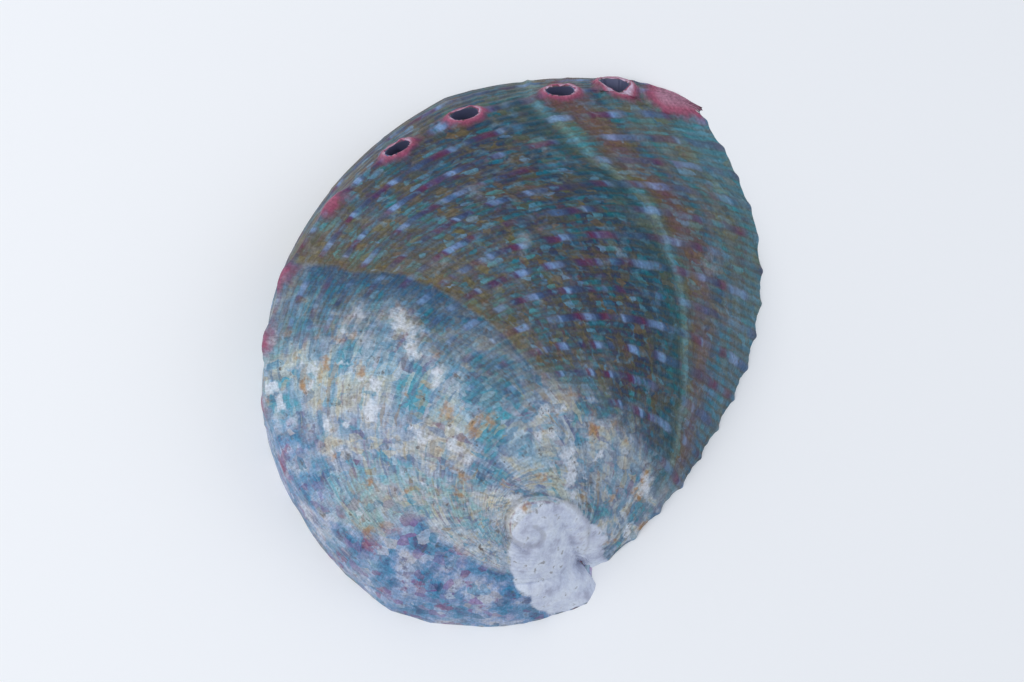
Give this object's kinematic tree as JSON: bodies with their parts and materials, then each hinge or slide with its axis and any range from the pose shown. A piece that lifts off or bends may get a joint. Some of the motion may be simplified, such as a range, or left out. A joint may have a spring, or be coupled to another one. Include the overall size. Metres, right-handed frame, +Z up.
{
  "type": "abalone shell",
  "caption": "Low ear-shaped spiral sea shell with a row of open holes along its left side, a small worn spire at the back and a hollow bowl underneath, resting mouth down.",
  "frame": {"origin": "under the middle of the shell's bounding box, on the plane that the rim rests on", "axes": "+Y towards the front, growing end of the shell, +X towards the lip, +Z up through the dome"},
  "size_m": [0.12, 0.157, 0.0401],
  "materials": {
    "shell": "satin"
  },
  "bodies": {
    "root": {"abalone_shell": "shell"}
  },
  "joints": []
}
